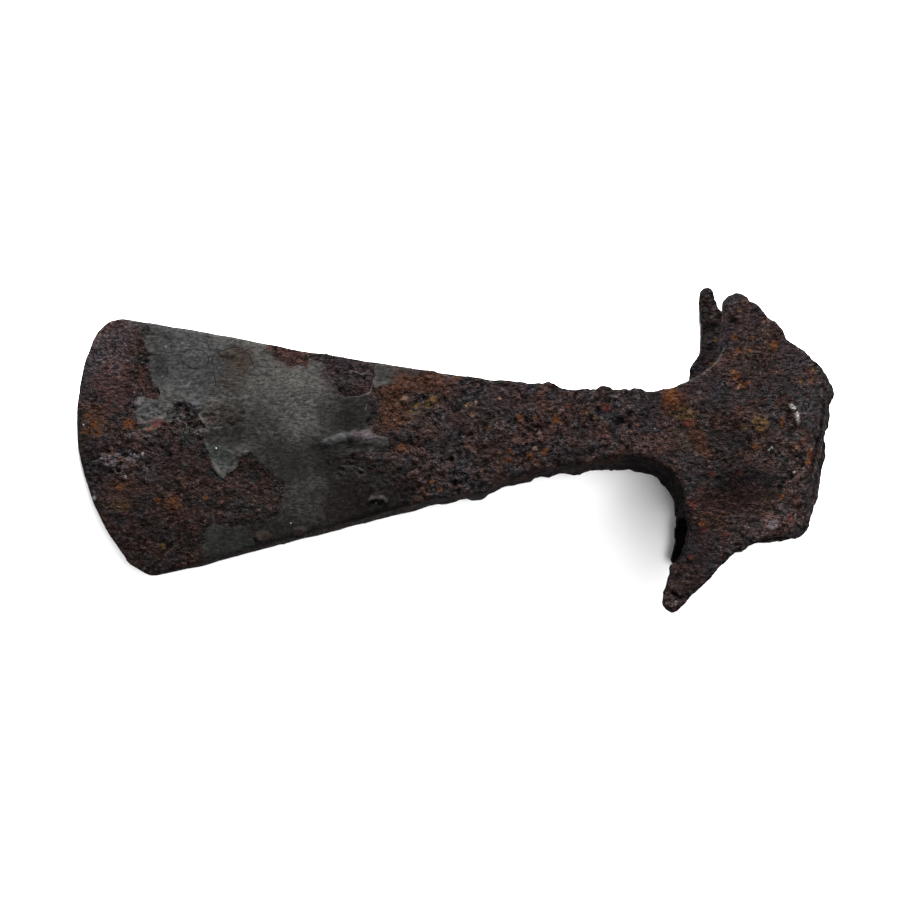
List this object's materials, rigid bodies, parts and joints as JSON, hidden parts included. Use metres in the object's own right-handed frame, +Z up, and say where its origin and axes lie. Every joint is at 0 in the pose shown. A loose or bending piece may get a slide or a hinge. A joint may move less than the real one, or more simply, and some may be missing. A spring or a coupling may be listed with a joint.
{
  "type": "shaft-hole axe head with lugs",
  "caption": "Corroded wrought-iron axe head: long wedge blade with a curved bit, slim neck, D-shaped shaft hole, and pointed lugs along the haft, some broken short.",
  "frame": {"origin": "middle of the footprint, on the ground that the head lies on", "axes": "+X from the bit to the butt, +Y along the shaft hole towards the blade's straight upper edge, +Z up, across the cheeks"},
  "size_m": [0.1876, 0.1014, 0.0356],
  "materials": {
    "corroded_iron": "matt, rusted and pitted, with smoother grey patches"
  },
  "bodies": {
    "root": {"axe_head": "corroded_iron"}
  },
  "joints": []
}
